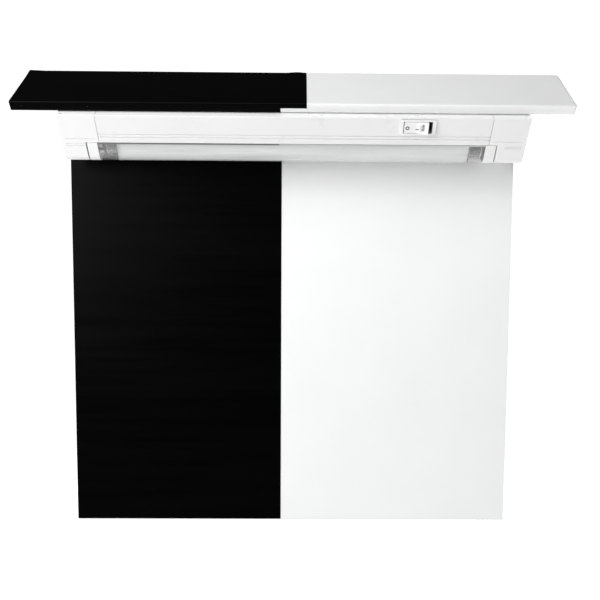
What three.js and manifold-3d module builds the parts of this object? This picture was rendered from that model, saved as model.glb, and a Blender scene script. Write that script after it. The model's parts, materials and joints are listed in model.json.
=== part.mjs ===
// Lighted contrast board: a flat back panel with a black half and a white half, a sloping
// visor board along its top edge, and a slim fluorescent lamp fixture slung under the visor.
// Millimetres, +Z up, +Y to the rear. The origin is the centre of the panel's back face.

import * as THREE from 'three';
import { mergeVertices } from 'three/addons/utils/BufferGeometryUtils.js';
import Module from 'manifold-3d';

const wasm = await Module();
wasm.setup();

// ---- driving dimensions ----

const GAP = 0.3; // clearance between pieces that touch
const BOARD = 6; // thickness of both boards
const FILM = 0.3; // thickness of the coloured films

const PANEL_WIDTH = 354;
const PANEL_HEIGHT = 364;
const COLOUR_SPLIT_X = -9; // where black meets white on the panel and under the visor
const TOP_SPLIT_X = 10.4; // where black meets white on top of the visor
const FILM_HEM = 0.9; // bare strip of board below the panel's films

const VISOR_WIDTH = 419;
const VISOR_DEPTH = 55; // along the slope, on the top face
const VISOR_SLOPE = THREE.MathUtils.degToRad(37);
const VISOR_SHIFT_X = 0.7;
const VISOR_CORNER = 2.5;

const FIXTURE_LENGTH = 350;
const FIXTURE_FACE = 39; // height of the front face, with its rounded lower corner
const FIXTURE_DEPTH = 23;
const FIXTURE_SHIFT_X = 1.6;
const FIXTURE_PROUD = 6.2; // the face stands this far in front of the visor's edge
const FIXTURE_TOP = -1; // the fixture hangs this far from the visor's underside
const FACE_ROUND = 6; // radius of the lower front corner
const EDGE_ROUND = 0.8;
const WALL = 1.2;
const LIP = 22; // lower edge of the opaque front wall, where the lens begins
const SEAM_X = 147.2; // where the end caps meet the housing
const LENS_CLEAR_X = 146.6; // half the length of the clear part
const LENS_END_X = 154.7; // outer ends of the lens's white end pieces
const LENS_SHIFT_X = -1.9; // the lens sits a little to the left in the fixture
const LENS_SLOT = 0.9; // open slot between a lens end piece and its end cap
const LENS_WALL = 1;
const LENS_TAIL = 17.2; // how far back the lens reaches along the underside

const LAMP = { y: 9.6, z: -29.5, glassR: 7.5, glassWall: 0.8, capR: 8, capLength: 11 };
const LAMP_HALF = 144.15; // half of the 288.3 mm between the cap faces
const PIN = { r: 1.18, spacing: 4.75, length: 7.1 };

const SWITCH = { x: 91.4, z: -7.3, width: 27, height: 11.8, bodyW: 23.4, bodyH: 11, bodyDepth: 13 };
const SWITCH_RIM = 1.4; // how far the switch's rim stands off the face
const ROCKER = { half: 9.4, height: 8.8, tilt: THREE.MathUtils.degToRad(9), pivotY: 3.2 };
const TERMINAL_X = 6; // the switch's blades stand this far either side of its middle

const RECESS = { top: 10, bottom: 28, lip: 1.5, floor: 20.6, lipDepth: 1 };
const SCREW_CHANNELS = [[19.2, 3.7], [3.7, 17.1]]; // depth and drop of the cap screws' axes
const CHANNEL_HALF = 2.5;
const SCREW_HOLE_R = 1.7;

const END_CAP_WALL = 1.5;
const SOCKET = { y: 11, z: -29.2, width: 11, height: 15.6, from: 158.7, bore: [8, 12.6], depth: 11.5 };
const HOLDER = { half: 7.7, from: 149, to: 155.5, boss: 146.4, bossR: 5.6, rotorR: 4.4, rotorTo: 152 };

const SHELF = 19.6; // top of the shelf between the ballast space and the lamp space
const SHELF_WALL = 1;
const REFLECTOR = 0.4;
const CIRCUIT = { y: [6.6, 8], z: [-18.6, -2], x: [-132, 62] };
const LEAD_R = 0.6;

const KEYHOLE = { x: 120, z: 140, entryR: 5, slotR: 2.6, rise: 10 };

const BRACKET_X = 110;
const BRACKET_WIDTH = 18;
const BRACKET_VISOR_Y = 30; // how far up the visor its screw sits
const BRACKET_DROP = 37; // length of the leg on the panel
const PANEL_SCREW_DROP = 25;
const STEEL = 1.5;
const CLIP_STEEL = 1;

// ---- colours ----

const finish = {
  whiteBoard: { color: 0xf0f0ee, roughness: 0.55, metalness: 0 },
  whiteFilm: { color: 0xf4f4f3, roughness: 0.4, metalness: 0 },
  blackFilm: { color: 0x0a0a0b, roughness: 0.42, metalness: 0 },
  whiteMetal: { color: 0xeeeeec, roughness: 0.35, metalness: 0.1 },
  whitePlastic: { color: 0xf2f2f0, roughness: 0.4, metalness: 0 },
  clearPlastic: { color: 0xe4e8ea, roughness: 0.15, metalness: 0 },
  glass: { color: 0xf4f6f6, roughness: 0.2, metalness: 0 },
  aluminium: { color: 0xb9babb, roughness: 0.3, metalness: 1 },
  steel: { color: 0xa5a7a9, roughness: 0.35, metalness: 1 },
  brass: { color: 0xc2a04c, roughness: 0.3, metalness: 1 },
  circuit: { color: 0x9a7a3c, roughness: 0.6, metalness: 0 },
  darkPlastic: { color: 0x1c1c1e, roughness: 0.5, metalness: 0 },
  copper: { color: 0xa0522d, roughness: 0.4, metalness: 0.6 },
};

// ---- helpers ----

const group = new THREE.Group();

// Everything under the visor shares its slope: here y runs up the slope and z is square to it.
// The origin is the lower front edge of the visor board.
const head = new THREE.Group();
head.rotation.x = VISOR_SLOPE;
const slopeCos = Math.cos(VISOR_SLOPE);
const slopeSin = Math.sin(VISOR_SLOPE);
head.position.set(
  0,
  -BOARD - GAP - VISOR_DEPTH * slopeCos + BOARD * slopeSin,
  PANEL_HEIGHT / 2 - VISOR_DEPTH * slopeSin - BOARD * slopeCos,
);
group.add(head);

// The fixture's own space: x along it, y back from its face, z up from minus its height to 0.
const fixture = new THREE.Group();
fixture.position.set(FIXTURE_SHIFT_X, -FIXTURE_PROUD, FIXTURE_TOP);
head.add(fixture);

function addPart(name, geometry, look, parent = group) {
  const mesh = new THREE.Mesh(geometry, new THREE.MeshStandardMaterial(finish[look]));
  mesh.name = name;
  parent.add(mesh);
  return mesh;
}

function toSolid(geometry) {
  const bare = geometry.clone();
  bare.deleteAttribute('normal');
  bare.deleteAttribute('uv');
  const merged = mergeVertices(bare, 1e-4);
  return new wasm.Manifold(new wasm.Mesh({
    numProp: 3,
    vertProperties: Float32Array.from(merged.attributes.position.array),
    triVerts: Uint32Array.from(merged.index.array),
  }));
}

function toGeometry(solid) {
  const mesh = solid.getMesh();
  const geometry = new THREE.BufferGeometry();
  geometry.setAttribute('position', new THREE.BufferAttribute(mesh.vertProperties, 3));
  geometry.setIndex(new THREE.BufferAttribute(mesh.triVerts, 1));
  geometry.computeVertexNormals();
  return geometry;
}

function combine(geometry, { add = [], cut = [] }) {
  let solid = toSolid(geometry);
  for (const piece of add) {
    solid = solid.add(toSolid(piece));
  }
  for (const piece of cut) {
    solid = solid.subtract(toSolid(piece));
  }
  return toGeometry(solid);
}

function box([x0, x1], [y0, y1], [z0, z1]) {
  const geometry = new THREE.BoxGeometry(Math.abs(x1 - x0), y1 - y0, z1 - z0);
  geometry.translate((x0 + x1) / 2, (y0 + y1) / 2, (z0 + z1) / 2);
  return geometry;
}

// A closed outline through points; a third value rounds that corner.
function outline(points) {
  const shape = new THREE.Path();
  points.forEach(([y, z, radius = 0], i) => {
    const corner = new THREE.Vector2(y, z);
    const before = new THREE.Vector2(...points.at(i - 1)).sub(corner).setLength(radius);
    const after = new THREE.Vector2(...points[(i + 1) % points.length]).sub(corner).setLength(radius);
    const start = corner.clone().add(before);
    const place = i === 0 ? 'moveTo' : 'lineTo';
    shape[place](start.x, start.y);
    if (radius > 0) {
      const end = corner.clone().add(after);
      shape.quadraticCurveTo(corner.x, corner.y, end.x, end.y);
    }
  });
  shape.closePath();
  return shape;
}

// Holes have to run the other way round from the outline that they are in.
function shapeOf(path, holes, divisions) {
  const wound = (loop, clockwise) => {
    const points = loop.getPoints(divisions);
    return THREE.ShapeUtils.isClockWise(points) === clockwise ? points : points.reverse();
  };
  const shape = new THREE.Shape(wound(path, false));
  shape.holes = holes.map((hole) => new THREE.Path(wound(hole, true)));
  return shape;
}

function circlePath(y, z, r) {
  const path = new THREE.Path();
  path.absarc(y, z, r, 0, Math.PI * 2, true);
  return path;
}

// Extrudes a y-z outline along x.
const alongX = new THREE.Matrix4().makeBasis(
  new THREE.Vector3(0, 1, 0),
  new THREE.Vector3(0, 0, 1),
  new THREE.Vector3(1, 0, 0),
);

function barX(path, [x0, x1], holes = [], divisions = 5) {
  const shape = shapeOf(path, holes, divisions);
  const geometry = new THREE.ExtrudeGeometry(shape, { depth: Math.abs(x1 - x0), bevelEnabled: false });
  geometry.applyMatrix4(alongX);
  geometry.translate(Math.min(x0, x1), 0, 0);
  return geometry;
}

function rodX(r, [x0, x1], y, z, sides = 20) {
  const geometry = new THREE.CylinderGeometry(r, r, Math.abs(x1 - x0), sides);
  geometry.rotateZ(-Math.PI / 2);
  geometry.translate((x0 + x1) / 2, y, z);
  return geometry;
}

function rodY(r, x, [y0, y1], z, sides = 20) {
  const geometry = new THREE.CylinderGeometry(r, r, y1 - y0, sides);
  geometry.translate(x, (y0 + y1) / 2, z);
  return geometry;
}

function rodZ(r, x, y, [z0, z1]) {
  const geometry = new THREE.CylinderGeometry(r, r, z1 - z0, 16);
  geometry.rotateX(Math.PI / 2);
  geometry.translate(x, y, (z0 + z1) / 2);
  return geometry;
}

// Turns a profile of [radius, height] points about y.
function turned(profile, sides = 20) {
  return new THREE.LatheGeometry(profile.map(([r, h]) => new THREE.Vector2(r, h)), sides);
}

// A pan-head screw with a cross recess. The head's underside is at 0 and the shank runs to -y.
function screwGeometry(shankR, length, headR = shankR * 2, headHeight = shankR * 1.2) {
  const body = turned([
    [0, -length],
    [shankR * 0.5, -length],
    [shankR, -length + shankR],
    [shankR, 0],
    [headR, 0],
    [headR, headHeight * 0.45],
    [headR * 0.8, headHeight * 0.85],
    [0, headHeight],
  ], 18);
  const slotDepth = headHeight * 0.5;
  const arm = headR * 0.55;
  const slots = [
    box([-arm, arm], [headHeight - slotDepth, headHeight + 1], [-0.35, 0.35]),
    box([-0.35, 0.35], [headHeight - slotDepth, headHeight + 1], [-arm, arm]),
  ];
  return combine(body, { cut: slots });
}

const sides = [['left', -1], ['right', 1]];

// A span between two distances from the middle, on the side that sign picks.
function span(sign, near, far) {
  return sign < 0 ? [-far, -near] : [near, far];
}

// ---- where the panel stands in the visor's sloping space ----

const filmSkin = GAP + FILM + GAP; // a bracket stands on the film, a gap away from it
const mitre = BOARD * Math.tan(VISOR_SLOPE);

// A point at a drop below the visor's underside, standing off the panel's front by offset.
function panelLine(drop, offset) {
  return [VISOR_DEPTH - mitre - drop * Math.tan(VISOR_SLOPE) - offset / slopeCos, -drop];
}

function headToWorld([y, z]) {
  return [head.position.y + y * slopeCos - z * slopeSin, head.position.z + y * slopeSin + z * slopeCos];
}

const panelScrew = headToWorld(panelLine(PANEL_SCREW_DROP, filmSkin + STEEL));
const bracketXs = sides.map(([, sign]) => sign * BRACKET_X + FIXTURE_SHIFT_X);

function panelScrewHole(x) {
  return rodY(SCREW_HOLE_R, x, [-BOARD - 2, -1], panelScrew[1], 16);
}

function visorScrewHole(x) {
  const hole = new THREE.CylinderGeometry(SCREW_HOLE_R, SCREW_HOLE_R, 10, 16);
  hole.rotateX(Math.PI / 2);
  hole.translate(x, BRACKET_VISOR_Y, 0);
  return hole;
}

// ---- back panel ----

const panelTop = PANEL_HEIGHT / 2;
const panelEdge = PANEL_WIDTH / 2;

// Two keyholes in the back face: a round entry with a narrower slot above it.
function makePanel() {
  const board = box([-panelEdge, panelEdge], [-BOARD, 0], [-panelTop, panelTop]);
  const cut = sides.flatMap(([, sign]) => {
    const x = sign * KEYHOLE.x;
    const slotTop = KEYHOLE.z + KEYHOLE.rise;
    return [
      rodY(KEYHOLE.entryR, x, [-BOARD - 1, 1], KEYHOLE.z, 24),
      rodY(KEYHOLE.slotR, x, [-BOARD - 1, 1], slotTop, 16),
      box([x - KEYHOLE.slotR, x + KEYHOLE.slotR], [-BOARD - 1, 1], [KEYHOLE.z, slotTop]),
    ];
  });
  addPart('panel_board', combine(board, { cut: [...cut, ...bracketXs.map(panelScrewHole)] }), 'whiteBoard');

  // The films stop below the visor's mitred rear edge.
  const filmTop = panelTop - BOARD / slopeCos - 2;
  const depth = [-BOARD - GAP - FILM, -BOARD - GAP];
  const height = [-panelTop + FILM_HEM, filmTop];
  const black = box([-panelEdge, COLOUR_SPLIT_X], depth, height);
  const white = box([COLOUR_SPLIT_X + GAP, panelEdge], depth, height);
  addPart('panel_film_black', combine(black, { cut: [panelScrewHole(bracketXs[0])] }), 'blackFilm');
  addPart('panel_film_white', combine(white, { cut: [panelScrewHole(bracketXs[1])] }), 'whiteFilm');
}

// ---- visor ----

const visorLeft = VISOR_SHIFT_X - VISOR_WIDTH / 2;
const visorRight = VISOR_SHIFT_X + VISOR_WIDTH / 2;

function makeVisor() {
  const plan = outline([
    [visorLeft, 0, VISOR_CORNER],
    [visorRight, 0, VISOR_CORNER],
    [visorRight, VISOR_DEPTH, VISOR_CORNER],
    [visorLeft, VISOR_DEPTH, VISOR_CORNER],
  ]);
  const slab = new THREE.ExtrudeGeometry(shapeOf(plan, [], 5), { depth: BOARD, bevelEnabled: false });
  // The rear edge is cut plumb, so it stands flat against the panel.
  const wedge = barX(outline([
    [VISOR_DEPTH - 2 * mitre, -BOARD],
    [VISOR_DEPTH + BOARD, -BOARD],
    [VISOR_DEPTH + BOARD, 2 * BOARD],
    [VISOR_DEPTH + mitre, 2 * BOARD],
  ]), [visorLeft - 1, visorRight + 1]);
  const screwHoles = bracketXs.map(visorScrewHole);
  addPart('visor_board', combine(slab, { cut: [wedge, ...screwHoles] }), 'whiteBoard', head);

  // The top films turn down over the front edge and stop half-way; the lower films come up
  // from underneath to meet them.
  const skinTop = BOARD + GAP + FILM;
  const middle = BOARD / 2;
  const topFilm = outline([
    [-GAP - FILM, middle + GAP / 2],
    [-GAP, middle + GAP / 2],
    [-GAP, BOARD + GAP],
    [VISOR_DEPTH - 1, BOARD + GAP],
    [VISOR_DEPTH - 1, skinTop],
    [-GAP - FILM, skinTop],
  ]);
  const underFilm = outline([
    [-GAP - FILM, middle - GAP / 2],
    [-GAP, middle - GAP / 2],
    [-GAP, -GAP],
    [VISOR_DEPTH - mitre - 3, -GAP],
    [VISOR_DEPTH - mitre - 3, -GAP - FILM],
    [-GAP - FILM, -GAP - FILM],
  ]);
  const inset = VISOR_CORNER * 0.6;
  const from = visorLeft + inset;
  const to = visorRight - inset;
  addPart('visor_film_black', barX(topFilm, [from, TOP_SPLIT_X]), 'blackFilm', head);
  addPart('visor_film_white', barX(topFilm, [TOP_SPLIT_X + GAP, to]), 'whiteFilm', head);
  const lowerBlack = barX(underFilm, [from, COLOUR_SPLIT_X]);
  const lowerWhite = barX(underFilm, [COLOUR_SPLIT_X + GAP, to]);
  addPart('under_film_black', combine(lowerBlack, { cut: [screwHoles[0]] }), 'blackFilm', head);
  addPart('under_film_white', combine(lowerWhite, { cut: [screwHoles[1]] }), 'whiteFilm', head);
}

// ---- brackets, clips and their screws, hidden behind the fixture ----

const clipFront = FIXTURE_DEPTH + GAP; // front of the clip's base, in the fixture's space
const clipZ = -(RECESS.top + RECESS.bottom) / 2;
const flangeFront = clipFront + CLIP_STEEL + GAP - FIXTURE_PROUD; // in the head's space

// One strip of steel, bent three times: down the panel, forward under the visor, and down
// again behind the fixture.
function makeBracket(side, x) {
  const width = [x - BRACKET_WIDTH / 2, x + BRACKET_WIDTH / 2];
  const top = -filmSkin;
  const outer = panelLine(-top + STEEL, filmSkin);
  const inner = panelLine(-top + 2 * STEEL, filmSkin + STEEL);
  const flangeEnd = -BRACKET_DROP * slopeCos;
  const strip = outline([
    [flangeFront, flangeEnd],
    [flangeFront, top, 1.2],
    [outer[0], top, 0.8],
    [outer[0], outer[1], 0.6],
    panelLine(BRACKET_DROP, filmSkin),
    panelLine(BRACKET_DROP, filmSkin + STEEL),
    [inner[0], inner[1], 0.4],
    [inner[0] - STEEL, top - STEEL],
    [flangeFront + STEEL, top - STEEL],
    [flangeFront + STEEL, flangeEnd],
  ]);
  const panelHole = rodY(SCREW_HOLE_R, x, [-6, 6], 0, 16);
  panelHole.rotateX(-VISOR_SLOPE);
  panelHole.translate(0, ...panelLine(PANEL_SCREW_DROP, filmSkin + STEEL));
  const clipHole = rodY(SCREW_HOLE_R, x, [flangeFront - 2, flangeFront + STEEL + 2], clipZ + FIXTURE_TOP, 16);
  const bracket = combine(barX(strip, width), { cut: [panelHole, visorScrewHole(x), clipHole] });
  addPart(`bracket_${side}`, bracket, 'steel', head);
}

// A spring clip on the bracket: its two legs hook behind the lips of the housing's recess.
function makeClip(side, x) {
  const legOuter = RECESS.top + RECESS.lip + 0.5;
  const hook = RECESS.top + 0.6;
  const tip = RECESS.floor + 0.4;
  const hookBack = RECESS.floor + 1.1;
  const half = [
    [clipFront + CLIP_STEEL, -(legOuter - 2)],
    [clipFront, -(legOuter - 2)],
    [clipFront, -legOuter],
    [hookBack, -legOuter],
    [hookBack, -hook],
    [tip, -hook],
    [tip, -(legOuter + 0.9)],
    [clipFront, -(legOuter + 0.9)],
  ];
  const other = half.map(([y, z]) => [y, 2 * clipZ - z]).reverse();
  const localX = x - FIXTURE_SHIFT_X;
  const clip = barX(outline([...half, ...other]), [localX - 7, localX + 7]);
  const hole = rodY(SCREW_HOLE_R, localX, [clipFront - 1, clipFront + 3], clipZ, 16);
  addPart(`clip_${side}`, combine(clip, { cut: [hole] }), 'steel', fixture);
}

function makeBracketScrews(side, x) {
  const forPanel = screwGeometry(1.4, 6);
  forPanel.rotateX(Math.PI);
  forPanel.translate(x, panelScrew[0] - 0.1, panelScrew[1]);
  addPart(`panel_screw_${side}`, forPanel, 'steel');

  const forVisor = screwGeometry(1.4, 6);
  forVisor.rotateX(-Math.PI / 2);
  forVisor.translate(x, BRACKET_VISOR_Y, -filmSkin - STEEL - 0.1);
  addPart(`visor_screw_${side}`, forVisor, 'steel', head);

  const forClip = screwGeometry(1.4, 4.6);
  forClip.rotateX(Math.PI);
  forClip.translate(x - FIXTURE_SHIFT_X, clipFront - 0.1, clipZ);
  addPart(`clip_screw_${side}`, forClip, 'steel', fixture);
}

// ---- fixture housing ----

function housingOutline() {
  const groove = (drop) => [
    [0, -drop - 0.6],
    [0.5, -drop - 0.4],
    [0.5, -drop],
    [0, -drop + 0.2],
  ];
  return outline([
    [0, 0, EDGE_ROUND],
    [FIXTURE_DEPTH, 0, EDGE_ROUND],
    [FIXTURE_DEPTH, -RECESS.top - RECESS.lip],
    [FIXTURE_DEPTH - RECESS.lipDepth, -RECESS.top - RECESS.lip],
    [FIXTURE_DEPTH - RECESS.lipDepth, -RECESS.top],
    [RECESS.floor, -RECESS.top],
    [RECESS.floor, -RECESS.bottom],
    [FIXTURE_DEPTH - RECESS.lipDepth, -RECESS.bottom],
    [FIXTURE_DEPTH - RECESS.lipDepth, -RECESS.bottom + RECESS.lip],
    [FIXTURE_DEPTH, -RECESS.bottom + RECESS.lip],
    [FIXTURE_DEPTH, -FIXTURE_FACE, EDGE_ROUND],
    [LENS_TAIL + GAP, -FIXTURE_FACE],
    [LENS_TAIL + GAP, -FIXTURE_FACE + WALL],
    [FIXTURE_DEPTH - WALL, -FIXTURE_FACE + WALL],
    [FIXTURE_DEPTH - WALL, -RECESS.bottom - WALL],
    [RECESS.floor - SHELF_WALL, -RECESS.bottom - WALL],
    [RECESS.floor - SHELF_WALL, -SHELF - SHELF_WALL],
    [WALL, -SHELF - SHELF_WALL],
    [WALL, -LIP],
    [0, -LIP],
    ...groove(17.4),
    ...groove(15),
  ]);
}

function housingVoid() {
  const [rear, front] = SCREW_CHANNELS;
  return outline([
    [WALL, -WALL],
    [rear[0] - CHANNEL_HALF, -WALL],
    [rear[0] - CHANNEL_HALF, -rear[1] - CHANNEL_HALF],
    [FIXTURE_DEPTH - WALL, -rear[1] - CHANNEL_HALF],
    [FIXTURE_DEPTH - WALL, -RECESS.top + WALL],
    [RECESS.floor - SHELF_WALL, -RECESS.top + WALL],
    [RECESS.floor - SHELF_WALL, -SHELF],
    [front[0] + CHANNEL_HALF, -SHELF],
    [front[0] + CHANNEL_HALF, -front[1] + CHANNEL_HALF],
    [WALL, -front[1] + CHANNEL_HALF],
  ]);
}

function makeHousing() {
  const holes = SCREW_CHANNELS.map(([depth, drop]) => circlePath(depth, -drop, SCREW_HOLE_R));
  const reach = SEAM_X - GAP;
  const extrusion = barX(housingOutline(), [-reach, reach], [housingVoid(), ...holes], 4);
  const window = box(
    [SWITCH.x - SWITCH.bodyW / 2 - GAP, SWITCH.x + SWITCH.bodyW / 2 + GAP],
    [-1, WALL + 1],
    [SWITCH.z - SWITCH.bodyH / 2 - GAP, SWITCH.z + SWITCH.bodyH / 2 + GAP],
  );
  addPart('housing', combine(extrusion, { cut: [window] }), 'whiteMetal', fixture);

  // A thin bent sheet over and behind the lamp.
  const top = -SHELF - SHELF_WALL - GAP;
  const back = RECESS.floor - SHELF_WALL - GAP;
  const low = -FIXTURE_FACE + WALL + 2;
  const bend = outline([
    [WALL + GAP, top],
    [back, top, 0.6],
    [back, low],
    [back - REFLECTOR, low],
    [back - REFLECTOR, top - REFLECTOR],
    [WALL + GAP, top - REFLECTOR],
  ]);
  addPart('reflector', barX(bend, [-LAMP_HALF, LAMP_HALF]), 'whiteMetal', fixture);
}

// ---- end caps with their link sockets and lampholders ----

function capOutline(inset) {
  const low = -FIXTURE_FACE + inset;
  return outline([
    [inset, -inset, EDGE_ROUND],
    [FIXTURE_DEPTH - inset, -inset, EDGE_ROUND],
    [FIXTURE_DEPTH - inset, low, EDGE_ROUND],
    [inset, low, FACE_ROUND - inset],
  ]);
}

// Where the open slot beside the lens ends, measured outwards from the middle on one side.
function lensCutEnd(sign) {
  return LENS_END_X + LENS_SLOT + sign * LENS_SHIFT_X;
}

function makeEndCap(side, sign) {
  const end = FIXTURE_LENGTH / 2;
  const shell = toSolid(barX(capOutline(0), span(sign, SEAM_X, end), [], 6));
  const hollow = barX(capOutline(END_CAP_WALL), span(sign, SEAM_X - 1, end - END_CAP_WALL), [], 6);
  const bosses = SCREW_CHANNELS.map(([depth, drop]) => rodX(3.6, span(sign, SEAM_X, end - 0.5), depth, -drop, 24));
  const withBosses = bosses.reduce((solid, boss) => solid.add(toSolid(boss)), shell.subtract(toSolid(hollow)));
  // one long groove, then a pair beside the lens's end piece
  const beside = LENS_END_X + 4;
  const grooves = [[18.8, SEAM_X + 2], [22.9, beside], [24.4, beside]].map(([drop, from]) => (
    box(span(sign, from, end - 3), [-1, 0.35], [-drop - 0.5, -drop])
  ));
  const cuts = [
    ...SCREW_CHANNELS.flatMap(([depth, drop]) => [
      rodX(SCREW_HOLE_R, span(sign, SEAM_X - 1, end + 1), depth, -drop, 18),
      rodX(3, span(sign, end - 2.4, end + 1), depth, -drop, 24),
    ]),
    // the lens runs on into the cap
    box(span(sign, SEAM_X - 1, lensCutEnd(sign)), [-1, LENS_TAIL + GAP], [-FIXTURE_FACE - 1, -LIP]),
    // the mouth of the link socket
    box(
      span(sign, end - END_CAP_WALL - 1, end + 1),
      [SOCKET.y - SOCKET.bore[0] / 2, SOCKET.y + SOCKET.bore[0] / 2],
      [SOCKET.z - SOCKET.bore[1] / 2, SOCKET.z + SOCKET.bore[1] / 2],
    ),
    // a small moulding hole on top
    rodZ(1.2, sign * (end - 3.6), 2.6, [-1.1, 1]),
    ...grooves,
  ];
  const solid = cuts.reduce((rest, cut) => rest.subtract(toSolid(cut)), withBosses.intersect(shell));
  addPart(`end_cap_${side}`, toGeometry(solid), 'whitePlastic', fixture);
}

function makeCapScrews(side, sign) {
  SCREW_CHANNELS.forEach(([depth, drop], i) => {
    const screw = screwGeometry(1.4, 32, 2.7, 1.8);
    screw.rotateZ(-sign * Math.PI / 2);
    screw.translate(sign * (FIXTURE_LENGTH / 2 - 2.3), depth, -drop);
    addPart(`cap_screw_${side}_${i + 1}`, screw, 'steel', fixture);
  });
}

function makeLinkSocket(side, sign) {
  const end = FIXTURE_LENGTH / 2 - END_CAP_WALL - GAP;
  const halfW = SOCKET.width / 2;
  const halfH = SOCKET.height / 2;
  const body = box(span(sign, SOCKET.from, end), [SOCKET.y - halfW, SOCKET.y + halfW],
    [SOCKET.z - halfH, SOCKET.z + halfH]);
  const bore = box(
    span(sign, end - SOCKET.depth, end + 1),
    [SOCKET.y - SOCKET.bore[0] / 2, SOCKET.y + SOCKET.bore[0] / 2],
    [SOCKET.z - SOCKET.bore[1] / 2, SOCKET.z + SOCKET.bore[1] / 2],
  );
  const pins = [-1, 1].map((up) => SOCKET.z + up * 3.2);
  const holes = pins.map((z) => rodX(1.25, span(sign, SOCKET.from - 1, end), SOCKET.y, z, 16));
  addPart(`link_socket_${side}`, combine(body, { cut: [bore, ...holes] }), 'darkPlastic', fixture);
  pins.forEach((z, i) => {
    const pin = rodX(1, span(sign, SOCKET.from - 0.5, end - 5), SOCKET.y, z, 14);
    addPart(`link_pin_${side}_${i + 1}`, pin, 'brass', fixture);
  });
}

function makeLampholder(side, sign) {
  const { half } = HOLDER;
  const section = outline([
    [LAMP.y - half, LAMP.z - half, 4.5],
    [LAMP.y + half, LAMP.z - half, 1],
    [LAMP.y + half, LAMP.z + half, 1],
    [LAMP.y - half, LAMP.z + half, 1],
  ]);
  const block = barX(section, span(sign, HOLDER.from, HOLDER.to));
  const boss = rodX(HOLDER.bossR, span(sign, HOLDER.boss, HOLDER.from + 1), LAMP.y, LAMP.z, 28);
  const rotor = rodX(HOLDER.rotorR, span(sign, HOLDER.boss - 1, HOLDER.rotorTo), LAMP.y, LAMP.z, 24);
  const entry = box(span(sign, HOLDER.boss - 1, HOLDER.rotorTo), [-5, LAMP.y],
    [LAMP.z - 1.5, LAMP.z + 1.5]);
  addPart(`lampholder_${side}`, combine(block, { add: [boss], cut: [rotor, entry] }), 'whitePlastic', fixture);
}

// ---- lamp: a glass tube with a two-pin cap at each end ----

function makeLamp() {
  const glassEnd = LAMP_HALF - 2.4;
  const outer = circlePath(LAMP.y, LAMP.z, LAMP.glassR);
  const bore = circlePath(LAMP.y, LAMP.z, LAMP.glassR - LAMP.glassWall);
  addPart('lamp_tube', barX(outer, [-glassEnd, glassEnd], [bore], 16), 'glass', fixture);
  for (const [side, sign] of sides) {
    const face = sign * LAMP_HALF;
    const profile = [
      [0, 2],
      [LAMP.glassR + 0.2, 2],
      [LAMP.glassR + 0.2, LAMP.capLength],
      [LAMP.capR, LAMP.capLength],
      [LAMP.capR, 0.8],
      [LAMP.capR - 0.8, 0],
      [0, 0],
    ].reverse();
    const cup = turned(profile, 32);
    cup.rotateZ(sign * Math.PI / 2);
    cup.translate(face, LAMP.y, LAMP.z);
    const holes = [-1, 1].map((end) => (
      rodX(PIN.r + 0.1, span(sign, LAMP_HALF - 3, LAMP_HALF + 1), LAMP.y + end * PIN.spacing / 2, LAMP.z, 16)
    ));
    addPart(`lamp_cap_${side}`, combine(cup, { cut: holes }), 'aluminium', fixture);
    [-1, 1].forEach((end, i) => {
      const pin = rodX(PIN.r, span(sign, LAMP_HALF - 1.8, LAMP_HALF + PIN.length),
        LAMP.y + end * PIN.spacing / 2, LAMP.z, 16);
      addPart(`lamp_pin_${side}_${i + 1}`, pin, 'brass', fixture);
    });
  }
}

// ---- lens: a clear cover that turns under the lamp, with a white end piece at each end ----

function makeLens() {
  const low = -FIXTURE_FACE;
  const top = -LIP - GAP;
  const cover = outline([
    [0, top],
    [0, low, FACE_ROUND],
    [LENS_TAIL, low],
    [LENS_TAIL, low + LENS_WALL],
    [LENS_WALL, low + LENS_WALL, FACE_ROUND - LENS_WALL],
    [LENS_WALL, top],
  ]);
  const clear = barX(cover, [LENS_SHIFT_X - LENS_CLEAR_X, LENS_SHIFT_X + LENS_CLEAR_X], [], 8);
  addPart('lens', clear, 'clearPlastic', fixture);
  for (const [side, sign] of sides) {
    const end = barX(cover, span(sign, LENS_CLEAR_X + GAP, LENS_END_X), [], 8);
    end.translate(LENS_SHIFT_X, 0, 0);
    addPart(`lens_end_${side}`, end, 'whitePlastic', fixture);
  }
}

// ---- switch ----

// A frame standing on the face, with the switch's box behind it.
function makeSwitchBody() {
  const halfW = SWITCH.width / 2;
  const halfH = SWITCH.height / 2;
  const rim = outline([
    [-halfW, -halfH, 2.2],
    [halfW, -halfH, 2.2],
    [halfW, halfH, 2.2],
    [-halfW, halfH, 2.2],
  ]);
  const plate = new THREE.ExtrudeGeometry(shapeOf(rim, [], 5), {
    depth: SWITCH_RIM - GAP,
    bevelEnabled: false,
  });
  plate.rotateX(Math.PI / 2);
  plate.translate(0, -GAP, 0);
  const across = [-SWITCH.bodyW / 2, SWITCH.bodyW / 2];
  const tall = [-SWITCH.bodyH / 2, SWITCH.bodyH / 2];
  const body = box(across, [-GAP - 0.5, SWITCH.bodyDepth], tall);
  const well = box([across[0] + 1, across[1] - 1], [-3, 9.5], [tall[0] + 0.8, tall[1] - 0.8]);
  const slots = [-TERMINAL_X, TERMINAL_X].map((x) => (
    box([x - 0.6, x + 0.6], [9, SWITCH.bodyDepth + 1], [-2.6, 2.6])
  ));
  const geometry = combine(plate, { add: [body], cut: [well, ...slots] });
  geometry.translate(SWITCH.x, 0, SWITCH.z);
  addPart('switch_body', geometry, 'whitePlastic', fixture);
}

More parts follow.
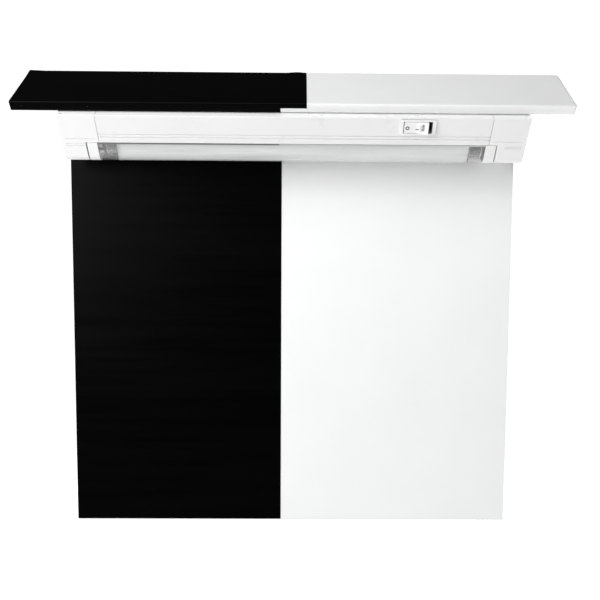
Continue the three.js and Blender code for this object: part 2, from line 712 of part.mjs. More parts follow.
// The rocker rests with its left half pressed in, so its right half stands proud.
function makeRocker() {
  const profile = outline([
    [-ROCKER.half, -6.6, 0.8],
    [0, -4.8, 4],
    [ROCKER.half, -6.6, 0.8],
    [ROCKER.half - 0.2, -1.6, 0.5],
    [3, 3.4, 1],
    [-3, 3.4, 1],
    [-ROCKER.half + 0.2, -1.6, 0.5],
  ]);
  const geometry = new THREE.ExtrudeGeometry(shapeOf(profile, [], 5), {
    depth: ROCKER.height,
    bevelEnabled: false,
  });
  geometry.translate(0, 0, -ROCKER.height / 2);
  const rocker = addPart('switch_rocker', geometry, 'whitePlastic', fixture);
  rocker.rotation.z = -ROCKER.tilt;
  rocker.position.set(SWITCH.x, ROCKER.pivotY, SWITCH.z);
}

function makeSwitchTerminals() {
  [-1, 1].forEach((end, i) => {
    const x = SWITCH.x + end * TERMINAL_X;
    const blade = box([x - 0.35, x + 0.35], [10.4, 18.4], [SWITCH.z - 2.3, SWITCH.z + 0.8]);
    const eye = new THREE.CylinderGeometry(0.7, 0.7, 3, 12);
    eye.rotateZ(Math.PI / 2);
    eye.translate(x, 16.6, SWITCH.z - 0.8);
    addPart(`switch_terminal_${i + 1}`, combine(blade, { cut: [eye] }), 'brass', fixture);
  });
}

// ---- ballast, in the space above the lamp ----

function makeBallast() {
  const [boardFront, boardBack] = CIRCUIT.y;
  const board = box(CIRCUIT.x, [boardFront, boardBack], CIRCUIT.z);
  const fixings = [-120, 50].map((x) => rodY(1.6, x, [boardFront - 1, boardBack + 1], -10, 16));
  addPart('ballast_board', combine(board, { cut: fixings }), 'circuit', fixture);

  const on = boardBack + GAP; // parts stand on the back of the board
  const core = box([-10, 10], [on, on + 10.6], [-17.4, -6.6]);
  const windows = [-1, 1].map((end) => box([end * 6.4 - 1.2, end * 6.4 + 1.2], [on - 1, on + 12], [-15, -9]));
  addPart('ballast_choke', combine(core, { cut: windows }), 'darkPlastic', fixture);

  [-46, 34].forEach((x, i) => {
    const can = turned([
      [0, 0],
      [4.6, 0],
      [4.9, 0.4],
      [4.9, 1.6],
      [4.5, 2.1],
      [4.9, 2.6],
      [4.9, 15.6],
      [4.5, 16],
      [0, 16],
    ], 24);
    can.rotateZ(-Math.PI / 2);
    can.translate(x, on + 5, -10.4);
    addPart(`capacitor_${i + 1}`, can, 'darkPlastic', fixture);
  });

  [-78, -66].forEach((x, i) => {
    const body = box([x - 2.2, x + 2.2], [on, on + 9], [-16, -7]);
    const tab = box([x - 2.2, x - 0.9], [on, on + 10.4], [-15, -8]);
    addPart(`transistor_${i + 1}`, combine(body, { add: [tab] }), 'darkPlastic', fixture);
  });
}

// ---- inner wiring: two leads from the left link socket to the switch ----

function tubeAlong(points, r, steps) {
  const path = new THREE.CatmullRomCurve3(points.map((point) => new THREE.Vector3(...point)));
  const section = new THREE.Shape();
  section.absarc(0, 0, r, 0, Math.PI * 2);
  return new THREE.ExtrudeGeometry(section, { extrudePath: path, steps, curveSegments: 4 });
}

function makeLeads() {
  const wayY = 14.5;
  const outX = -(SOCKET.from - 1.5);
  [[-4.4, -7.3], [-2.6, 4.7]].forEach(([wayZ, terminal], i) => {
    const endX = SWITCH.x + terminal;
    const startY = SOCKET.y - 1.5 + i * 3;
    const riseX = outX + 2.6 - i * 2.4;
    const lead = tubeAlong([
      [outX, startY, SOCKET.z + 3],
      [outX, startY + 0.3, -19],
      [riseX, wayY - 1, -11],
      [riseX + 4, wayY, wayZ - 1.4],
      [outX + 14, wayY, wayZ],
      [outX + 22, wayY, wayZ],
      [-60, wayY, wayZ],
      [20, wayY, wayZ],
      [endX - 16, wayY, wayZ],
      [endX - 8, wayY, wayZ],
      [endX - 1.5, wayY + 0.4, wayZ - 0.5],
      [endX, wayY + 1, SWITCH.z - 0.6],
    ], LEAD_R, 90);
    addPart(`lead_${i + 1}`, lead, i === 0 ? 'darkPlastic' : 'whitePlastic', fixture);
  });
}

makePanel();
makeVisor();
sides.forEach(([side, sign], i) => {
  makeBracket(side, bracketXs[i]);
  makeClip(side, bracketXs[i]);
  makeBracketScrews(side, bracketXs[i]);
  makeEndCap(side, sign);
  makeCapScrews(side, sign);
  makeLinkSocket(side, sign);
  makeLampholder(side, sign);
});
makeHousing();
makeLamp();
makeLens();
makeSwitchBody();
makeRocker();
makeSwitchTerminals();
makeBallast();
makeLeads();

export default group;
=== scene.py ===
"""Looks of the lighted contrast board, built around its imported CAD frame. Metres, +Z up, +Y to the rear."""

import json
import math

import bmesh
import bpy
from mathutils import Matrix, Vector, noise

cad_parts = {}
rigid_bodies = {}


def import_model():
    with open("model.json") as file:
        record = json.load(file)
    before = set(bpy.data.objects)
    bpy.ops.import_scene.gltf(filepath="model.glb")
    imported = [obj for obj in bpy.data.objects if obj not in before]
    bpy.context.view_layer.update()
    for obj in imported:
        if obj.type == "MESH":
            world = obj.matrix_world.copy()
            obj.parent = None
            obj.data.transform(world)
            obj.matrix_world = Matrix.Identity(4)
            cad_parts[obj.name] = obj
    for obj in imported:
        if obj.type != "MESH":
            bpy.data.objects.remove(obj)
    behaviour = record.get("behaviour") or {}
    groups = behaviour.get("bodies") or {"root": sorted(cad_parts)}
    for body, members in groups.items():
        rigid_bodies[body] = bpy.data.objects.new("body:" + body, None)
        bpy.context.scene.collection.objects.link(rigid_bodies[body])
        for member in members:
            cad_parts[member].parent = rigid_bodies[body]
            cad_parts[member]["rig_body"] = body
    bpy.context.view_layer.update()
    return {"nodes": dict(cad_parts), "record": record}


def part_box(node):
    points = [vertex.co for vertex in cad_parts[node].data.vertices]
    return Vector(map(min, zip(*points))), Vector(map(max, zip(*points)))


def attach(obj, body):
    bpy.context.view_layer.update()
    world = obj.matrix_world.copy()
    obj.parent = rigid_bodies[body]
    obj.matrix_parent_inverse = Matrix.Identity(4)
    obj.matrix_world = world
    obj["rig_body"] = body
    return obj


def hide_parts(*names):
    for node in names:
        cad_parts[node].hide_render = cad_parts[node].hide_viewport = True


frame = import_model()
nodes = frame["nodes"]

MM = 0.001
SLOPE = math.radians(37)
COS, SIN = math.cos(SLOPE), math.sin(SLOPE)
FIXTURE_SHIFT_X = 1.6  # the fixture hangs this far to the right of the panel's middle

# ---- the two sloping frames of the CAD, in millimetres ----


def head(x, y, z):
    """A point on the visor: y runs up the slope from its front edge, z stands off its underside."""
    return Vector((x, -46.614 + COS * y - SIN * z, 144.108 + SIN * y + COS * z)) * MM


def fixture(x, y, z):
    """A point on the lamp fixture: y runs back from its face, z up from its top."""
    return Vector((FIXTURE_SHIFT_X + x, -50.964 + COS * y - SIN * z, 139.578 + SIN * y + COS * z)) * MM


# ---- camera ----

LENS_MM = 42.2
EYE = Vector((5.9, -576.9, 42.3)) * MM
PITCH, YAW, ROLL = math.radians(4.666), math.radians(0.602), math.radians(-0.361)

ahead = Vector((math.sin(YAW) * math.cos(PITCH), math.cos(YAW) * math.cos(PITCH), -math.sin(PITCH)))
level = Vector((math.cos(YAW), -math.sin(YAW), 0))
down = ahead.cross(level)
right = level * math.cos(ROLL) + down * math.sin(ROLL)
up = level * math.sin(ROLL) - down * math.cos(ROLL)

camera_data = bpy.data.cameras.new("camera")
camera_data.lens = LENS_MM
camera_data.sensor_width = 36
camera_data.shift_x = -0.0114
camera_data.shift_y = 0.0124
camera_data.clip_start = 0.01
camera = bpy.data.objects.new("camera", camera_data)
bpy.context.scene.collection.objects.link(camera)
camera.matrix_world = Matrix.Translation(EYE) @ Matrix(
    [[right[i], up[i], -ahead[i]] for i in range(3)]
).to_4x4()
bpy.context.scene.camera = camera
bpy.context.scene.view_settings.view_transform = "Standard"

# ---- materials ----


class Paint:
    """A Principled material whose colour, roughness and bump come from noise in the part's own space."""

    def __init__(self, name, **fixed):
        self.material = bpy.data.materials.new(name)
        self.material.use_nodes = True
        self.tree = self.material.node_tree
        self.shader = self.tree.nodes["Principled BSDF"]
        self.place = self.tree.nodes.new("ShaderNodeTexCoord").outputs["Object"]
        self.normal = None
        for socket, value in fixed.items():
            self.shader.inputs[socket.replace("_", " ")].default_value = value

    def add(self, kind, **inputs):
        node = self.tree.nodes.new(kind)
        for socket, value in inputs.items():
            target = node.inputs[socket.replace("_", " ")]
            if isinstance(value, bpy.types.NodeSocket):
                self.tree.links.new(value, target)
            else:
                target.default_value = value
        return node

    def stretched(self, scale, tilt=0.0):
        """The part's space turned by tilt about x, then scaled, so that noise can run along one way."""
        node = self.add("ShaderNodeMapping", Vector=self.place)
        node.inputs["Rotation"].default_value = (tilt, 0, 0)
        node.inputs["Scale"].default_value = scale
        return node.outputs["Vector"]

    def noise(self, scale, detail=3.0, rough=0.5, place=None):
        place = place or self.place
        node = self.add("ShaderNodeTexNoise", Vector=place, Scale=scale, Detail=detail, Roughness=rough)
        return node.outputs["Fac"]

    def ranged(self, value, low, high, start=0.3, end=0.7):
        node = self.add("ShaderNodeMapRange", Value=value)
        node.inputs["From Min"].default_value = start
        node.inputs["From Max"].default_value = end
        node.inputs["To Min"].default_value = low
        node.inputs["To Max"].default_value = high
        return node.outputs["Result"]

    def ramp(self, value, *stops):
        node = self.add("ShaderNodeValToRGB", Fac=value)
        elements = node.color_ramp.elements
        while len(elements) < len(stops):
            elements.new(0.5)
        for element, (position, colour) in zip(elements, stops):
            element.position = position
            element.color = (*colour, 1)
        return node.outputs["Color"]

    def link(self, socket, value):
        self.tree.links.new(value, self.shader.inputs[socket])

    def bump(self, height, distance, strength=1.0):
        """Stacks one more layer of bump, distance in millimetres."""
        node = self.add("ShaderNodeBump", Height=height, Distance=distance * MM, Strength=strength)
        if self.normal:
            self.tree.links.new(self.normal, node.inputs["Normal"])
        self.normal = node.outputs["Normal"]
        self.tree.links.new(self.normal, self.shader.inputs["Normal"])


def grey(value, warm=0.0):
    return (value * (1 + warm), value, value * (1 - warm))


def moulded(name, light, dark, rough, grain, depth):
    """Moulded plastic or paint: faint mottling, a fine skin, and roughness that drifts."""
    paint = Paint(name)
    drift = paint.noise(14, 4)
    paint.link("Base Color", paint.ramp(drift, (0.32, dark), (0.68, light)))
    paint.link("Roughness", paint.ranged(paint.noise(55, 5, 0.6), rough - 0.05, rough + 0.06))
    paint.bump(paint.noise(grain, 2), depth)
    paint.bump(paint.noise(60, 2), 0.05, 0.5)
    return paint


def metal(name, light, dark, rough, scale, tilt=0.0, depth=0.01):
    """Worked metal with streaks along one way."""
    paint = Paint(name, Metallic=1.0)
    streak = paint.noise(1, 4, 0.6, paint.stretched(scale, tilt))
    paint.link("Base Color", paint.ramp(streak, (0.3, dark), (0.7, light)))
    paint.link("Roughness", paint.ranged(streak, rough - 0.08, rough + 0.1))
    paint.bump(streak, depth)
    return paint


def make_materials():
    looks = {}

    board = moulded("white_board", grey(0.86), grey(0.83), 0.55, 1400, 0.03)
    cells = board.add("ShaderNodeTexVoronoi", Vector=board.place, Scale=1100.0)
    board.bump(cells.outputs["Distance"], 0.03, 0.6)
    looks["white_board"] = board

    white = moulded("white_film", grey(0.88, -0.002), grey(0.86, -0.002), 0.42, 1500, 0.006)
    white.bump(white.noise(1, 3, 0.5, white.stretched((9, 60, 60))), 0.12, 0.6)
    looks["white_film"] = white

    black = Paint("black_film")
    black.shader.inputs["Specular IOR Level"].default_value = 0.055
    run = black.noise(1, 5, 0.6, black.stretched((7, 90, 120)))
    dust = black.noise(700, 2)
    black.link("Base Color", black.ramp(run, (0.25, grey(0.0002)), (0.75, grey(0.0007))))
    black.link("Roughness", black.ranged(run, 0.32, 0.42))
    black.bump(dust, 0.006, 0.7)
    black.bump(run, 0.05, 0.5)
    looks["black_film"] = black

    looks["white_enamel"] = moulded("white_enamel", grey(0.83), grey(0.8), 0.3, 420, 0.02)
    looks["white_plastic"] = moulded("white_plastic", grey(0.84), grey(0.815), 0.36, 1100, 0.01)
    looks["switch_plastic"] = moulded("switch_plastic", grey(0.9), grey(0.88), 0.24, 1300, 0.005)
    looks["socket_plastic"] = moulded("socket_plastic", grey(0.8), grey(0.77), 0.42, 1100, 0.012)
    looks["dark_component"] = moulded("dark_component", grey(0.03), grey(0.015), 0.45, 900, 0.02)
    looks["lead_covering"] = moulded("lead_covering", grey(0.5), grey(0.45), 0.4, 800, 0.02)

    circuit = Paint("circuit_board", Roughness=0.5)
    track = circuit.add("ShaderNodeTexVoronoi", Vector=circuit.place, Scale=170.0)
    laminate = circuit.ramp(track.outputs["Distance"], (0.45, (0.32, 0.2, 0.09)), (0.6, (0.42, 0.28, 0.13)))
    circuit.link("Base Color", laminate)
    circuit.bump(track.outputs["Distance"], 0.05)
    looks["circuit_board"] = circuit

    looks["bracket_steel"] = metal("bracket_steel", grey(0.62), grey(0.5), 0.34, (60, 700, 700))
    looks["screw_steel"] = metal("screw_steel", grey(0.66), grey(0.5), 0.28, (900, 900, 120))
    looks["contact_brass"] = metal(
        "contact_brass", (0.7, 0.57, 0.36), (0.55, 0.44, 0.27), 0.28, (90, 900, 900)
    )
    looks["lamp_cap_metal"] = metal(
        "lamp_cap_metal", grey(0.56), grey(0.2), 0.26, (40, 520, 520), -SLOPE, 0.04
    )

    glass = Paint("lamp_glass", Coat_Weight=1.0, Coat_Roughness=0.04, Roughness=0.5)
    powder = glass.noise(240, 4)
    glass.link("Base Color", glass.ramp(powder, (0.3, (0.84, 0.86, 0.87)), (0.7, (0.88, 0.9, 0.91))))
    glass.bump(glass.noise(30, 1), 0.02, 0.4)
    looks["lamp_glass"] = glass

    lens = Paint("clear_lens", IOR=1.49)
    lens.shader.inputs["Specular IOR Level"].default_value = 0.5
    haze = lens.noise(1, 3, 0.5, lens.stretched((12, 260, 260), -SLOPE))
    lens.link("Base Color", lens.ramp(haze, (0.3, grey(0.84)), (0.7, grey(0.9))))
    lens.link("Roughness", lens.ranged(haze, 0.1, 0.2))
    lens.link("Alpha", lens.ranged(haze, 0.08, 0.14))
    lens.bump(haze, 0.02)
    looks["clear_lens"] = lens

    ribbed = Paint("ribbed_lens", IOR=1.49)
    haze = ribbed.noise(1, 3, 0.5, ribbed.stretched((12, 260, 260), -SLOPE))
    ribbed.link("Base Color", ribbed.ramp(haze, (0.3, grey(0.84)), (0.7, grey(0.9))))
    ribbed.link("Roughness", ribbed.ranged(haze, 0.16, 0.28))
    ribbed.link("Alpha", ribbed.ranged(haze, 0.36, 0.46))
    looks["ribbed_lens"] = ribbed

    looks["lens_joint"] = moulded("lens_joint", grey(0.22), grey(0.16), 0.3, 900, 0.01)
    # painted shade along the lens's upper edge; its left part is darker, a painted reflection of the black
    # film
    looks["lip_painted_shade_and_reflection"] = moulded("lip_painted_shade_and_reflection", grey(0.2), grey(0.14), 0.4, 900, 0.01)
    looks["lip_painted_shade"] = moulded("lip_painted_shade", grey(0.52), grey(0.46), 0.4, 900, 0.01)
    looks["cap_ring"] = metal("cap_ring", grey(0.92), grey(0.85), 0.3, (60, 300, 300), -SLOPE, 0.01)

    looks["symbol_ink"] = moulded("symbol_ink", grey(0.06), grey(0.04), 0.5, 1500, 0.004)
    looks["well_shade"] = moulded("well_shade", grey(0.05), grey(0.03), 0.6, 1200, 0.01)
    looks["groove_shade"] = moulded("groove_shade", grey(0.2), grey(0.14), 0.6, 1200, 0.01)
    return looks


looks = make_materials()
slot_of = {part["node"]: part["material_slot"] for part in frame["record"]["subparts"]}

# ---- mesh helpers ----


def piece(name, mesh, slot, body, stands_for=(), look=None):
    """Links a mesh as a finished piece that rides on a body."""
    obj = bpy.data.objects.new(name, mesh)
    bpy.context.scene.collection.objects.link(obj)
    mesh.materials.clear()
    mesh.materials.append(looks[look or slot].material)
    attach(obj, body)
    if stands_for:
        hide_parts(*stands_for)


def built(work, name):
    """Turns a bmesh into a mesh and frees it."""
    mesh = bpy.data.meshes.new(name)
    work.to_mesh(mesh)
    work.free()
    return mesh


def finished(mesh, width, segments=3, angle=32.0):
    """Rounds a mesh's sharp edges by width millimetres and gives it even normals."""
    obj = bpy.data.objects.new("working", mesh)
    bpy.context.scene.collection.objects.link(obj)
    bevel = obj.modifiers.new("bevel", "BEVEL")
    bevel.width = width * MM
    bevel.segments = segments
    bevel.limit_method = "ANGLE"
    bevel.angle_limit = math.radians(angle)
    bevel.miter_outer = "MITER_ARC"
    weighted = obj.modifiers.new("weighted", "WEIGHTED_NORMAL")
    weighted.keep_sharp = True
    weighted.weight = 90
    bpy.context.view_layer.update()
    shown = obj.evaluated_get(bpy.context.evaluated_depsgraph_get())
    result = bpy.data.meshes.new_from_object(shown)
    bpy.data.objects.remove(obj)
    return result


def smooth(mesh, angle=40.0):
    for face in mesh.polygons:
        face.use_smooth = True
    mesh.set_sharp_from_angle(angle=math.radians(angle))
    return mesh


def refined(node, width, whole=True):
    """A CAD node's own shape with its edges rounded, and its flat faces made whole if asked."""
    source = nodes[node]
    work = bmesh.new()
    work.from_mesh(source.data)
    bmesh.ops.remove_doubles(work, verts=work.verts, dist=2e-6)
    if whole:
        flat = math.radians(0.4)
        bmesh.ops.dissolve_limit(work, angle_limit=flat, verts=work.verts, edges=work.edges)
    mesh = finished(smooth(built(work, node)), width)
    piece(f"{node}.shape", mesh, slot_of[node], source["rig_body"], [node])


def sheet_mesh(name, stations, path, thickness, place, lift, nick=None):
    """A thin closed sheet. path is its inner line in one section, each point with its outward
    direction, and stations run across it. lift(x, t) raises it in millimetres, with t from 0 to 1
    along the path, and nick(x) shortens its end."""
    work = bmesh.new()
    count = len(path)
    grids = []
    for rise in (0, thickness):
        grid = []
        for x in stations:
            row = []
            for k, ((y, z), (ny, nz)) in enumerate(path):
                off = lift(x, k / (count - 1)) + rise
                end = nick(x) if nick and k == count - 1 else 0
                row.append(work.verts.new(place(x, y + ny * off, z + nz * off + end)))
            grid.append(row)
        grids.append(grid)
    close_sheet(work, grids, len(stations), count)
    return smooth(built(work, name), 50)


def close_sheet(work, grids, across, along):
    """Faces for two matching grids of corners, one over the other, and for the edges between them."""
    inner, outer = grids
    for i in range(across - 1):
        for k in range(along - 1):
            work.faces.new((outer[i][k], outer[i + 1][k], outer[i + 1][k + 1], outer[i][k + 1]))
            work.faces.new((inner[i][k], inner[i][k + 1], inner[i + 1][k + 1], inner[i + 1][k]))
    for i in range(across - 1):
        for k in (0, along - 1):
            work.faces.new((inner[i][k], inner[i + 1][k], outer[i + 1][k], outer[i][k]))
    for k in range(along - 1):
        for i in (0, across - 1):
            work.faces.new((inner[i][k], inner[i][k + 1], outer[i][k + 1], outer[i][k]))
    bmesh.ops.recalc_face_normals(work, faces=work.faces)


def steps(low, high, size):
    """Evenly spaced values from low to high, about size apart."""
    count = max(1, math.ceil(abs(high - low) / size))
    return [low + (high - low) * i / count for i in range(count + 1)]


def bend(centre, radius, start, end, count):
    """Points on an arc in a section, each with its outward direction. Angles in degrees."""
    found = []
    for i in range(count + 1):
        a = math.radians(start + (end - start) * i / count)
        outward = (math.cos(a), math.sin(a))
        found.append(((centre[0] + radius * outward[0], centre[1] + radius * outward[1]), outward))
    return found


def wave(x, y, scale, seed):
    return noise.noise(Vector((x * scale, y * scale, seed)))


# ---- films ----

VISOR_DEPTH = 55.0
FILM_THICKNESS = 0.3
NICKS = (-199.0, -150.8)  # two small chips in the black film on the front edge


def ends(node):
    """Where a CAD node begins and stops along x, in millimetres."""
    low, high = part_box(node)
    return low.x / MM, high.x / MM


def wrap_path(top):
    """Section of a film that lies on one face of the visor and turns over its front edge to the middle."""
    if top:
        flat = [((y, 6.3), (0, 1)) for y in steps(VISOR_DEPTH - 1, 0.9, 1.6)]
        corner = bend((0.55, 5.45), 0.85, 90, 180, 6)
        return flat + corner + [((-0.3, z), (-1, 0)) for z in steps(5.0, 3.03, 0.4)]
    flat = [((y, -0.3), (0, -1)) for y in steps(VISOR_DEPTH - 8, 0.9, 2.2)]
    corner = bend((0.55, 0.55), 0.85, 270, 180, 6)
    return flat + corner + [((-0.3, z), (-1, 0)) for z in steps(1.0, 2.97, 0.4)]


def make_visor_films():
    path = wrap_path(True)
    left, split = ends("visor_film_black")

    def lift_black(x, t):
        ripple = 0.05 + 0.05 * wave(x, t * 50, 0.05, 3.1)
        back = max(0.0, 1 - t / 0.06)
        corner = max(0.0, 1 - (x - left) / 12) * max(0.0, 1 - t / 0.15)
        bump = math.exp(-(((x - 3.0) / 5.5) ** 2)) * back
        return max(0.0, ripple + 0.5 * corner + 0.55 * bump)

    def lift_white(x, t):
        front = min(1.0, max(0.0, (t - 0.78) / 0.1))
        pucker = 0.05 + 0.14 * max(0.0, wave(x, 0, 0.14, 8.4)) + 0.05 * wave(x, 0, 0.5, 2.2)
        return max(0.0, 0.05 + 0.05 * wave(x, t * 50, 0.05, 5.7) + pucker * front)

    def nick(x):
        return 0.55 if min(abs(x - chip) for chip in NICKS) < 0.45 else 0.0

    stations = steps(left, split, 1.5) + [chip + o for chip in NICKS for o in (-0.5, -0.3, 0.3, 0.5)]
    black = sheet_mesh("visor_film_black", sorted(stations), path, FILM_THICKNESS, head, lift_black, nick)
    piece("visor_film_black.sheet", black, "black_film", "board", ["visor_film_black"])
    stations = steps(*ends("visor_film_white"), 1.5)
    white = sheet_mesh("visor_film_white", stations, path, FILM_THICKNESS, head, lift_white)
    piece("visor_film_white.sheet", white, "white_film", "board", ["visor_film_white"])

    under = wrap_path(False)
    for colour in ("black", "white"):
        node = f"under_film_{colour}"

        def lift(x, t):
            return 0.03 + 0.03 * wave(x, t * 40, 0.06, 9.2)

        sheet = sheet_mesh(node, steps(*ends(node), 2.0), under, FILM_THICKNESS, head, lift)
        piece(f"{node}.sheet", sheet, f"{colour}_film", "board", [node])


make_visor_films()

# ---- lens ----

LENS_TOP, LENS_LOW, LENS_ROUND, LENS_TAIL = -22.3, -39.0, 6.0, 17.2
LENS_WALL = 1.0
JOINTS = (-134.9, 132.9)  # where the ribbed middle of the lens meets its plain ends
JOINT_HALF = 0.3
LIP_CHANGE_X = -11.6  # where the painted reflection in the strip along the lens's upper edge ends and the strip turns lighter


def lens_line(size):
    """Points down the outer face of the lens and back under it, each with its inward direction."""
    line = [((0.0, z), (1.0, 0.0)) for z in steps(LENS_TOP, LENS_LOW + LENS_ROUND, size)]
    for i in range(1, 13):
        t = i / 13
        y = t * t * LENS_ROUND
        z = (1 - t) ** 2 * (LENS_LOW + LENS_ROUND) + (1 - (1 - t) ** 2) * LENS_LOW
        tangent = Vector((2 * t, -2 * (1 - t))).normalized()
        line.append(((y, z), (-tangent.y, tangent.x)))
    return line + [((y, LENS_LOW), (0.0, 1.0)) for y in steps(LENS_ROUND, LENS_TAIL, size)]


def lens_part(name, x0, x1, rib=0.0, inset=0.0, wall=LENS_WALL, line=None):
    """A length of the lens. rib deepens every other point of its outer face."""
    line = line or lens_line(0.5)[2:]
    work = bmesh.new()
    grids = []
    for inner in (False, True):
        grid = []
        for x in (x0, x1):
            row = []
            for k, ((y, z), (ny, nz)) in enumerate(line):
                depth = wall if inner else inset + (rib if k % 2 else 0.0)
                row.append(work.verts.new(fixture(x, y + ny * depth, z + nz * depth)))
            grid.append(row)
        grids.append(grid)
    close_sheet(work, grids, 2, len(line))
    return smooth(built(work, name), 60 if rib else 40)


def make_lens():
    left, right_end = (x - FIXTURE_SHIFT_X for x in ends("lens"))
    middle = lens_part("lens.middle", JOINTS[0] + JOINT_HALF, JOINTS[1] - JOINT_HALF, 0.1)
    piece("lens.middle", middle, "clear_lens", "lens", ["lens"], "ribbed_lens")
    windows = (
        ("left", left, JOINTS[0] - JOINT_HALF, JOINTS[0]),
        ("right", JOINTS[1] + JOINT_HALF, right_end, JOINTS[1]),
    )
    for side, x0, x1, joint in windows:
        piece(f"lens.window_{side}", lens_part("window", x0, x1), "clear_lens", "lens")
        seam = lens_part("joint", joint - JOINT_HALF, joint + JOINT_HALF, inset=0.15, wall=0.85)
        piece(f"lens.joint_{side}", seam, "clear_lens", "lens", look="lens_joint")
    line = lens_line(0.5)[:3]
    # two strips of painted shade along the lens's upper edge, the left one darker with a painted reflection
    for look, x0, x1 in (("lip_painted_shade_and_reflection", left, LIP_CHANGE_X), ("lip_painted_shade", LIP_CHANGE_X, right_end)):
        piece(f"lens.{look}", lens_part(look, x0, x1, line=line), "clear_lens", "lens", look=look)


make_lens()

# ---- switch ----

SWITCH_X, SWITCH_Z = 91.4, -7.3
MARK_THICKNESS = 0.05
ROCKER_TILT, ROCKER_PIVOT = math.radians(9), 3.2
ROCKER_END, ROCKER_RIGHT, ROCKER_HALF_HEIGHT = 9.4, 8.5, 4.4


def on_rocker(x, y, z):
    """World position of a point given in the rocker's own frame, as it rests with its right half proud."""
    across = x * math.cos(ROCKER_TILT) + y * math.sin(ROCKER_TILT)
    deep = y * math.cos(ROCKER_TILT) - x * math.sin(ROCKER_TILT)
    return fixture(SWITCH_X + across, ROCKER_PIVOT + deep, SWITCH_Z + z)


def rocker_face(x, z):
    """Depth of the rocker's hollow face, with a finger groove near its right end."""
    hollow = -4.8 - 1.8 * (math.hypot(x, 1.6) - 1.6) / 7.9
    side = 1.7 if x < 4.9 else 0.75
    groove = math.exp(-(((x - 4.9) / side) ** 2)) * math.exp(-((abs(z) / 3.0) ** 6))
    return hollow + 2.6 * groove


def make_rocker():
    across = steps(-ROCKER_END, ROCKER_RIGHT, 0.3)
    tall = steps(-ROCKER_HALF_HEIGHT, ROCKER_HALF_HEIGHT, 0.4)
    work = bmesh.new()
    inner = [
        [work.verts.new(on_rocker(x * 0.97, min(3.2, 5.6 - abs(x) * 0.8), z)) for z in tall] for x in across
    ]
    outer = [[work.verts.new(on_rocker(x, rocker_face(x, z), z)) for z in tall] for x in across]
    close_sheet(work, (inner, outer), len(across), len(tall))
    mesh = finished(smooth(built(work, "rocker"), 50), 0.3, 3, 50)
    piece("switch_rocker.shape", mesh, "switch_plastic", "rocker", ["switch_rocker"])


def mark(name, rows, look):
    """A thin patch that lies on the rocker's face. rows hold matching points in millimetres."""
    work = bmesh.new()
    grids = []
    for rise in (0.0, -MARK_THICKNESS):
        grids.append([
            [work.verts.new(on_rocker(x, rocker_face(x, z) + rise, z)) for x, z in row] for row in rows
        ])
    close_sheet(work, grids, len(rows), len(rows[0]))
    bmesh.ops.remove_doubles(work, verts=work.verts, dist=1e-7)
    piece(name, smooth(built(work, name), 60), "switch_plastic", "rocker", look=look)


def strip(name, across, tall, look):
    """A patch between two values of x and of z."""
    mark(name, [[(x, z) for z in steps(*tall, 0.3)] for x in steps(*across, 0.2)], look)


def around(x, z, radius, count=28):
    """Points round a circle, with the first again at the end."""
    turn = [2 * math.pi * (i % count) / count for i in range(count + 1)]
    return [(x + radius * math.cos(a), z + radius * math.sin(a)) for a in turn]


make_rocker()
mark("rocker_mark_off", [around(-7.0, -0.1, 0.75), around(-7.0, -0.1, 1.45)], "symbol_ink")
strip("rocker_mark_on", (-1.0, 1.5), (-1.5, -0.85), "symbol_ink")
strip("rocker_groove_shade", (4.3, 5.5), (-2.5, 2.5), "groove_shade")


def painted_well_shade(name, spread, depth):
    """A dark rounded plate inside the switch's well: painted shade where the well lies in the rocker's own
    shadow.
    """
    work = bmesh.new()
    box = (spread, depth, (SWITCH_Z - 4.6, SWITCH_Z + 4.6))
    for vert in bmesh.ops.create_cube(work, size=1)["verts"]:
        vert.co = fixture(*(low if c < 0 else high for c, (low, high) in zip(vert.co, box)))
    bmesh.ops.recalc_face_normals(work, faces=work.faces)
    mesh = finished(smooth(built(work, name)), 0.05, 2)
    piece(name, mesh, "switch_plastic", "board", look="well_shade")


# painted shade on the well's right wall and at its back, beyond the rocker's raised end
painted_well_shade("switch_body.well_right", (SWITCH_X + 10.35, SWITCH_X + 10.65), (-0.7, 9.0))
painted_well_shade("switch_body.well_back", (SWITCH_X + 6.8, SWITCH_X + 10.3), (9.1, 9.4))

# ---- lamp caps ----

LAMP_Y, LAMP_Z = 9.6, -29.5
RIM_TURN, RIM_SIDES = 48, 10


def ring(name, x, radius, width):
    """A rolled rim round a lamp cap."""
    work = bmesh.new()
    rows = []
    for i in range(RIM_TURN):
        a = 2 * math.pi * i / RIM_TURN
        row = []
        for k in range(RIM_SIDES):
            t = 2 * math.pi * k / RIM_SIDES
            r = radius + width * math.sin(t)
            y, z = LAMP_Y + r * math.cos(a), LAMP_Z + r * math.sin(a)
            row.append(work.verts.new(fixture(x + width * math.cos(t), y, z)))
        rows.append(row)
    for i in range(RIM_TURN):
        for k in range(RIM_SIDES):
            j, m = (i + 1) % RIM_TURN, (k + 1) % RIM_SIDES
            work.faces.new((rows[i][k], rows[j][k], rows[j][m], rows[i][m]))
    bmesh.ops.recalc_face_normals(work, faces=work.faces)
    piece(name, smooth(built(work, name), 80), "lamp_cap_metal", "lamp", look="cap_ring")


for side, sign in (("left", -1), ("right", 1)):
    ring(f"lamp_cap_{side}.rim_inner", sign * 133.8, 7.85, 0.4)
    ring(f"lamp_cap_{side}.rim_outer", sign * 142.6, 7.85, 0.35)

# ---- rigid pieces ----

for name in nodes:
    if nodes[name].hide_render:
        continue
    if name.startswith("end_cap"):
        refined(name, 0.05, whole=False)
    else:
        refined(name, 0.06 if name == "housing" else 0.2)  # the housing's grooves are fine

# ---- floor and light ----

FLOOR_Z = -0.95
FLOOR_SIDE, FLOOR_FRONT, FLOOR_BACK = 7.0, -7.0, 3.0


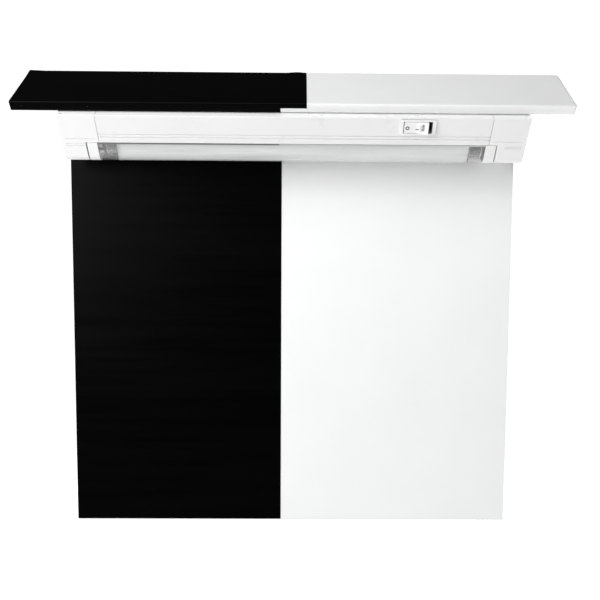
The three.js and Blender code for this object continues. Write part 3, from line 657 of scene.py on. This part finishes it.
def make_stage():
    mesh = bpy.data.meshes.new("floor")
    corners = [
        (-FLOOR_SIDE, FLOOR_FRONT, FLOOR_Z),
        (FLOOR_SIDE, FLOOR_FRONT, FLOOR_Z),
        (FLOOR_SIDE, FLOOR_BACK, FLOOR_Z),
        (-FLOOR_SIDE, FLOOR_BACK, FLOOR_Z),
    ]
    mesh.from_pydata(corners, [], [(0, 1, 2, 3)])
    floor = bpy.data.objects.new("floor", mesh)
    bpy.context.scene.collection.objects.link(floor)
    paint = Paint("floor", Roughness=0.9)
    paint.link("Base Color", paint.ramp(paint.noise(3, 2), (0.3, grey(0.92)), (0.7, grey(0.94))))
    mesh.materials.append(paint.material)

    # white where the camera sees past the floor, dim as a source of light
    world = bpy.data.worlds.new("studio")
    world.use_nodes = True
    tree = world.node_tree
    backdrop = tree.nodes["Background"]
    backdrop.inputs["Color"].default_value = (1, 1, 1, 1)
    backdrop.inputs["Strength"].default_value = 1.1
    room = tree.nodes.new("ShaderNodeBackground")
    room.inputs["Color"].default_value = (1, 1, 1, 1)
    room.inputs["Strength"].default_value = 0.06
    split = tree.nodes.new("ShaderNodeMixShader")
    path = tree.nodes.new("ShaderNodeLightPath")
    tree.links.new(path.outputs["Is Camera Ray"], split.inputs[0])
    tree.links.new(room.outputs[0], split.inputs[1])
    tree.links.new(backdrop.outputs[0], split.inputs[2])
    tree.links.new(split.outputs[0], tree.nodes["World Output"].inputs["Surface"])
    bpy.context.scene.world = world


def softbox(name, place, target, width, height, power, glossy=True):
    light = bpy.data.lights.new(name, "AREA")
    light.shape = "RECTANGLE"
    light.size = width
    light.size_y = height
    light.energy = power
    obj = bpy.data.objects.new(name, light)
    obj.visible_camera = False
    obj.visible_glossy = glossy
    bpy.context.scene.collection.objects.link(obj)
    place, target = Vector(place), Vector(target)
    turn = (target - place).to_track_quat("-Z", "Y").to_matrix().to_4x4()
    obj.matrix_world = Matrix.Translation(place) @ turn


make_stage()
softbox("key", (-0.8, -0.8, 0.35), (0, 0, 0), 0.7, 0.8, 12.4)
softbox("top", (-0.3, -0.95, 1.3), (0, 0, 0.1), 1.4, 0.7, 13)
softbox("bounce", (-0.2, -0.7, -0.85), (-0.2, -0.7, 0.0), 3.2, 1.6, 15, False)
softbox("fill", (1.5, -0.8, 0.2), (0, 0, 0), 0.9, 0.9, 1.2, False)
softbox("backdrop", (0, 0.9, 0.8), (0, 1.9, 0.05), 7.0, 0.6, 240)

# ---- finish ----

bpy.context.view_layer.update()
